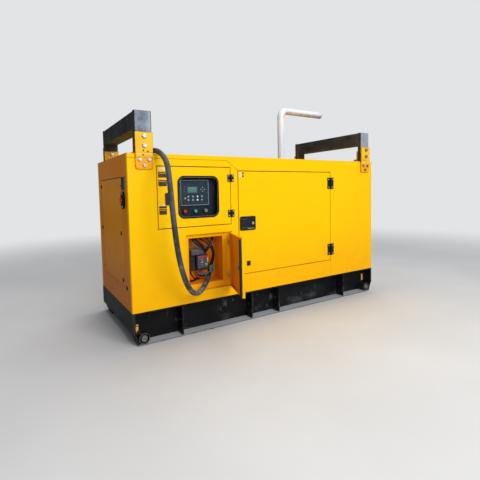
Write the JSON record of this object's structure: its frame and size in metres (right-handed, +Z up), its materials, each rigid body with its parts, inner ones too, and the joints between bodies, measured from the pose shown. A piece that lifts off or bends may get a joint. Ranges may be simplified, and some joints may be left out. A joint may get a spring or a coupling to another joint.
{
  "type": "enclosed diesel generator set with hanger frames",
  "caption": "Sound-proof diesel generator set on a skid, with hinged doors, louvres, bent exhaust, output cable and square-tube hanger frames for hanging under a beam.",
  "frame": {"origin": "middle of the skid's underside", "axes": "+X along the canopy from its control end to its radiator end, +Y from the control side to the rear, +Z up"},
  "size_m": [2.282, 1.2472, 1.7339],
  "materials": {
    "canopy_yellow": "gloss yellow powder coat",
    "skid_black": "satin black paint with dust",
    "bare_steel": "mill scale, grey blue, unpainted",
    "zinc_steel": "bright zinc plate",
    "white_paint": "white heat paint",
    "engine_grey": "dark grey engine enamel",
    "fitting_black": "black glass-filled plastic",
    "controller_plastic": "dark grey moulded case",
    "button_red": "gloss red",
    "breaker_grey": "grey moulded case",
    "seal_rubber": "black rubber section",
    "window_clear": "clear polycarbonate",
    "cable_rubber": "black rubber sheath"
  },
  "bodies": {
    "base": {"skid_beam_front": "skid_black", "skid_beam_rear": "skid_black", "skid_end_plates": "skid_black", "skid_crossmembers": "skid_black", "lifting_bars": "zinc_steel", "fuel_tank": "skid_black", "deck": "skid_black", "engine_and_alternator": "engine_grey", "air_cleaner": "fitting_black", "radiator": "engine_grey", "silencer": "bare_steel", "front_panel": "canopy_yellow", "front_shell": "canopy_yellow", "front_sill": "canopy_yellow", "rear_panel": "canopy_yellow", "rear_shell": "canopy_yellow", "rear_sill": "canopy_yellow", "intake_louvres": "canopy_yellow", "end_frame_left": "canopy_yellow", "end_panel_left": "canopy_yellow", "end_frame_right": "canopy_yellow", "end_grille": "canopy_yellow", "roof": "canopy_yellow", "exhaust_collar": "white_paint", "exhaust_pipe": "white_paint", "hanger_frame_left": "bare_steel", "hanger_frame_right": "bare_steel", "hanger_straps": "canopy_yellow", "hanger_cleats": "canopy_yellow", "stop_box": "fitting_black", "stop_button": "button_red", "control_housing": "fitting_black", "controller": "controller_plastic", "control_switches": "fitting_black", "terminal_box": "canopy_yellow", "breaker": "breaker_grey", "terminal_strip": "breaker_grey", "hinge_bases": "fitting_black", "power_cable": "cable_rubber", "cable_boot": "cable_rubber", "power_cable_coil": "cable_rubber", "cable_connector": "fitting_black"},
    "front_door": {"front_door": "canopy_yellow", "front_door_lock": "fitting_black", "front_door_hinges": "fitting_black"},
    "rear_door": {"rear_door": "canopy_yellow", "rear_door_lock": "fitting_black", "rear_door_hinges": "fitting_black"},
    "control_door": {"control_door": "canopy_yellow", "control_door_seal": "seal_rubber", "control_door_pane": "window_clear", "control_door_lock": "fitting_black", "control_door_hinges": "fitting_black"},
    "terminal_door": {"terminal_door": "canopy_yellow", "terminal_door_seal": "seal_rubber", "terminal_door_latch": "zinc_steel", "terminal_door_hinges": "fitting_black"}
  },
  "joints": [
    {"name": "front_door_hinge", "type": "hinge", "parent": "base", "child": "front_door", "pos_m": [0.5895, -0.452, 0.715], "axis": [0, 0, 1], "range_deg": [0, 120]},
    {"name": "rear_door_hinge", "type": "hinge", "parent": "base", "child": "rear_door", "pos_m": [0.5895, 0.452, 0.715], "axis": [0, 0, -1], "range_deg": [0, 120]},
    {"name": "control_door_hinge", "type": "hinge", "parent": "base", "child": "control_door", "pos_m": [-0.4045, -0.452, 0.93], "axis": [0, 0, 1], "range_deg": [0, 110]},
    {"name": "terminal_door_hinge", "type": "hinge", "parent": "base", "child": "terminal_door", "pos_m": [-0.4035, -0.452, 0.48], "axis": [0, 0, 1], "range_deg": [-45, 35]}
  ]
}
